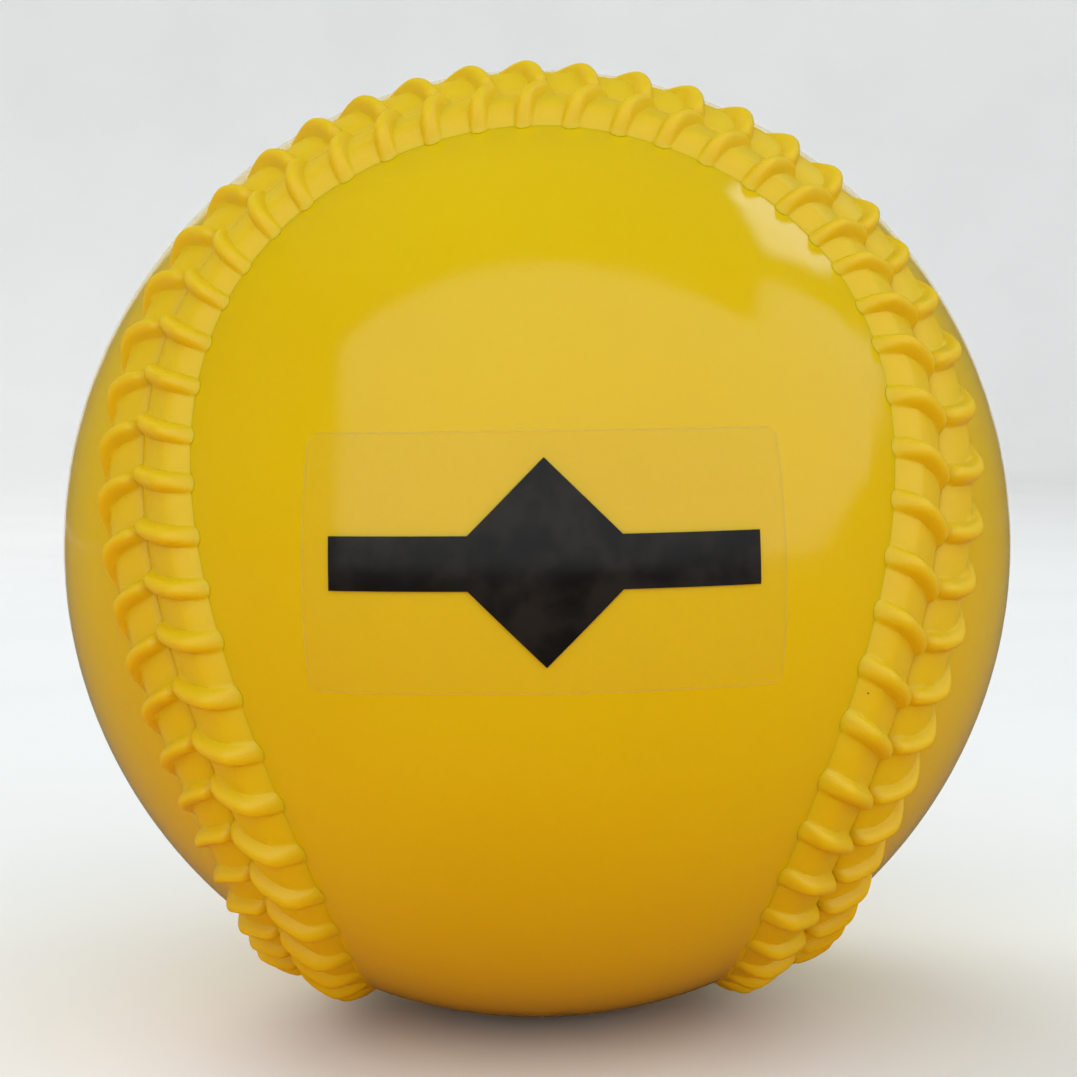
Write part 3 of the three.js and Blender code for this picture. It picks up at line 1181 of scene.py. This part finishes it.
@dataclass
class Studio:
    """Pale paper sweep, windows, lamps, the sheets around the set, world and camera."""

    floor_height: float
    floor_colour: Colour = (0.88, 0.875, 0.865)
    floor_rings: tuple[float, ...] = (0.02, 0.06, 0.2, 0.5)
    floor_radius: float = 1.0
    floor_steps: int = 96
    sweep_radius: float = 0.3
    sweep_steps: int = 15
    sweep_rise: float = 0.65
    world_level: float = 0.15
    window_level: float = 1.4
    window_tint: Colour = (0.92, 1.0, 1.03)
    window_front: float = -0.45
    window_side: float = 0.9
    window_foot: float = -0.015
    skylight_level: float = 2.6
    top_level: float = 0.4
    back_level: float = 3.0
    left_level: float = 1.0
    card_radius: float = 0.35
    card_height: float = 0.3 * MM
    card_steps: int = 24
    card_colour: Colour = (0.9, 0.5, 0.07)
    drape_colour: Colour = (0.15, 0.15, 0.14)
    drape_height: float = 0.2 * MM
    drape_radius: float = 1.02
    drape_rise: float = 1.2
    drape_gap: float = math.radians(23.0)
    drape_steps: int = 60
    sheet_inner: float = 0.5 * MM
    lens: float = 69.24
    sensor: float = 36.0
    camera_place: tuple[float, float, float] = (-3.13 * MM, -162.7 * MM, 10.78 * MM)
    camera_right: tuple[float, float, float] = (0.99968, -0.02024, -0.01539)
    camera_up: tuple[float, float, float] = (0.01669, 0.06577, 0.99770)
    shift_right: float = 0.00143
    shift_up: float = 0.00464

    @staticmethod
    def turned(
        name: str, turns: np.ndarray, radii: np.ndarray, rises: np.ndarray, whole: bool = False
    ) -> bpy.types.Object:
        """A profile turned about the upright axis, which faces up and inwards.

        Args:
            name: The piece's name.
            turns: Angles of its columns.
            radii: Radii of the profile's corners.
            rises: Heights of the profile's corners.
            whole: Whether it goes all the way round and is closed in the middle.

        Returns:
            The piece.
        """
        ring = np.stack([np.cos(turns), np.sin(turns)], -1)
        flat = ring[:, None, :] * radii[None, :, None]
        rise = np.broadcast_to(rises, flat.shape[:2])
        skin = Skin()
        numbers = skin.add(np.concatenate([flat, rise[..., None]], -1))
        skin.cloth(numbers, ring=whole, flip=True)
        if whole:
            middle = skin.add(np.array([[0.0, 0.0, rises[0]]]))[0]
            hub = numbers[:, 0]
            skin.triangles.append(
                np.stack([np.full_like(hub, middle), hub, np.roll(hub, -1)], -1)
            )
        return skin.piece(name)

    def build_floor(self, effects: Effects) -> None:
        """A round floor whose rim curves up into a low wall."""
        bend = np.linspace(0.0, math.pi / 2, self.sweep_steps)
        out = self.floor_radius + self.sweep_radius * np.sin(bend)
        up = self.sweep_radius * (1.0 - np.cos(bend))
        radii = np.concatenate([self.floor_rings, out, [out[-1]]])
        rises = np.concatenate([np.zeros(len(self.floor_rings)), up, [self.sweep_rise]])
        turns = np.linspace(0.0, 2.0 * math.pi, self.floor_steps + 1)[:-1]
        floor = self.turned("studio_floor", turns, radii, rises + self.floor_height, whole=True)
        paper = PaperFinish("pale_paper", self.floor_colour, roughness=0.9, ior=1.45)
        floor.data.materials.append(paper.material(effects))

    def build_world(self) -> None:
        """Even grey light from everywhere else."""
        world = bpy.data.worlds.new("soft_room")
        world.use_nodes = True
        background = world.node_tree.nodes["Background"]
        background.inputs["Color"].default_value = (1.0, 1.0, 1.0, 1.0)
        background.inputs["Strength"].default_value = self.world_level
        bpy.context.scene.world = world

    def build_card(self) -> None:
        """A warm half round card before the ball, which only throws soft light up at it.

        It is clear from below, so the floor beneath it is lit as if it weren't there.
        """
        turns = np.linspace(math.pi, 2.0 * math.pi, self.card_steps + 1)
        radii = np.array([self.sheet_inner, self.card_radius])
        rises = np.full(len(radii), self.floor_height + self.card_height)
        card = self.turned("warm_card", turns, radii, rises)
        Sheet("warm_card", self.card_colour).dress(card)
        card.visible_glossy = False

    def build_drape(self) -> None:
        """A dark drape that only shows in the ball's gloss.

        It lies on the floor and hangs around the set, and is open behind the ball, where the
        camera sees the pale paper.
        """
        start = math.pi / 2 + self.drape_gap
        end = math.pi * 5 / 2 - self.drape_gap
        turns = np.linspace(start, end, self.drape_steps + 1)
        low = self.floor_height + self.drape_height
        radii = np.array([self.sheet_inner, self.drape_radius, self.drape_radius])
        rises = np.array([low, low, low + self.drape_rise])
        drape = self.turned("dark_drape", turns, radii, rises)
        Sheet("dark_drape", self.drape_colour).dress(drape)
        drape.visible_diffuse = False

    def build_lamps(self) -> None:
        """The windows in front and on the right, the light from above and the fill lights.

        The panes' outlines are those of the bright shapes that the photographed ball reflects.
        """
        front = self.window_front
        side = self.window_side
        foot = self.window_foot
        WindowPane("front_window", (
            (-0.469, front, foot), (-0.459, front, 0.045), (-0.476, front, 0.188),
            (-0.518, front, 0.335), (-0.596, front, 0.504), (-0.745, front, 0.784),
            (-0.735, front, 0.86), (-0.627, front, 0.976), (-0.383, front, 1.1),
            (0.02, front, 1.17), (side, front, 1.15), (side, front, foot),
        ), self.window_level, self.window_tint).build()
        WindowPane("side_window", (
            (side, front, foot), (side, front, 1.15), (side, -0.338, 0.9), (side, -0.195, 0.97),
            (side, -0.051, 1.034), (side, 0.047, 0.831), (side, 0.126, 0.638),
            (side, 0.187, 0.493), (side, 0.073, 0.373), (side, -0.145, 0.187),
            (side, -0.287, 0.102), (side, -0.391, 0.022),
        ), self.window_level, self.window_tint).build()
        WindowPane("skylight", (
            (0.336, 0.198, 0.581), (0.352, 0.31, 0.536), (0.45, 0.31, 0.455),
            (0.515, 0.164, 0.444), (0.441, 0.047, 0.542),
        ), self.skylight_level, self.window_tint).build()
        SoftBox(
            "top_light", (0.0, 0.15, 0.9), 1.2, 1.2, self.top_level, self.window_tint
        ).build()
        SoftBox("back_light", (-0.7, 1.0, 0.9), 1.0, 1.0, self.back_level).build()
        SoftBox("left_light", (-1.05, -0.45, 0.72), 0.8, 0.8, self.left_level).build()

    def build_camera(self) -> None:
        """The camera at the photograph's viewing angle."""
        data = bpy.data.cameras.new("photo_view")
        data.lens = self.lens
        data.sensor_width = self.sensor
        data.shift_x = self.shift_right
        data.shift_y = self.shift_up
        data.clip_start = 0.01
        made = bpy.data.objects.new("photo_view", data)
        bpy.context.scene.collection.objects.link(made)
        right = Vector(self.camera_right).normalized()
        back = right.cross(Vector(self.camera_up)).normalized()
        up = back.cross(right)
        turn = Matrix((right, up, back)).transposed().to_4x4()
        made.matrix_world = Matrix.Translation(self.camera_place) @ turn
        bpy.context.scene.camera = made

    def build(self, effects: Effects) -> None:
        """The whole studio."""
        self.build_floor(effects)
        self.build_card()
        self.build_drape()
        self.build_world()
        self.build_lamps()
        self.build_camera()
        bpy.context.scene.view_settings.view_transform = "Standard"


# The whole ball


@dataclass
class Ball:
    """The whole ball."""

    radius: float
    effects: Effects

    def build(self) -> None:
        """Builds and dresses every piece."""
        gloss = VinylFinish(
            "glossy_vinyl", colour=(0.7, 0.48, 0.001), roughness=0.1, ior=1.4
        )
        matte = VinylFinish(
            "matte_vinyl", colour=(0.73, 0.5, 0.002), roughness=0.46, ior=1.45,
            deep=(0.66, 0.41, 0.001), shine_spread=0.05, grain_depth=0.02 * MM,
            wave_depth=0.04 * MM, speck_share=0.05,
        )
        seam = Seam(self.radius)
        panel_material = gloss.material(self.effects)
        welt_material = matte.material(self.effects)
        for side in Side:
            panel = Panel(seam, side).build()
            finish_piece(panel, f"cover_{side.word}", panel_material)
            welt = seam.build_welt(side)
            finish_piece(welt, f"welt_{side.word}", welt_material)

        label = Label(self.radius)
        film = FilmFinish(
            "clear_film", colour=(0.6, 0.5, 0.25), roughness=0.12, ior=1.4, label=label
        )
        finish_piece(label.build_film(), "label_film", film.material(self.effects))
        ink = InkFinish("black_ink", colour=(0.006, 0.005, 0.005), roughness=0.1, ior=1.28)
        finish_piece(label.build_print(), "label_print", ink.material(self.effects))

        foam = FoamFinish(
            "closed_cell_foam", colour=(0.85, 0.8, 0.6), roughness=0.9, ior=1.45
        )
        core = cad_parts["foam_core"]
        core.data.materials.clear()
        core.data.materials.append(foam.material(self.effects))
        log.info("foam_core: carried over, new finish")


def main() -> None:
    """Builds the studio and the ball."""
    logging.basicConfig(level=logging.INFO, format="%(message)s")
    low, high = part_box("cover_under")
    wide_low, wide_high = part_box("cover_over")
    radius = min(-low.z, high.y, -wide_low.x, wide_high.x)
    effects = Effects()
    Studio(floor_height=low.z).build(effects)
    Ball(radius, effects).build()


if __name__ == "__main__":
    main()
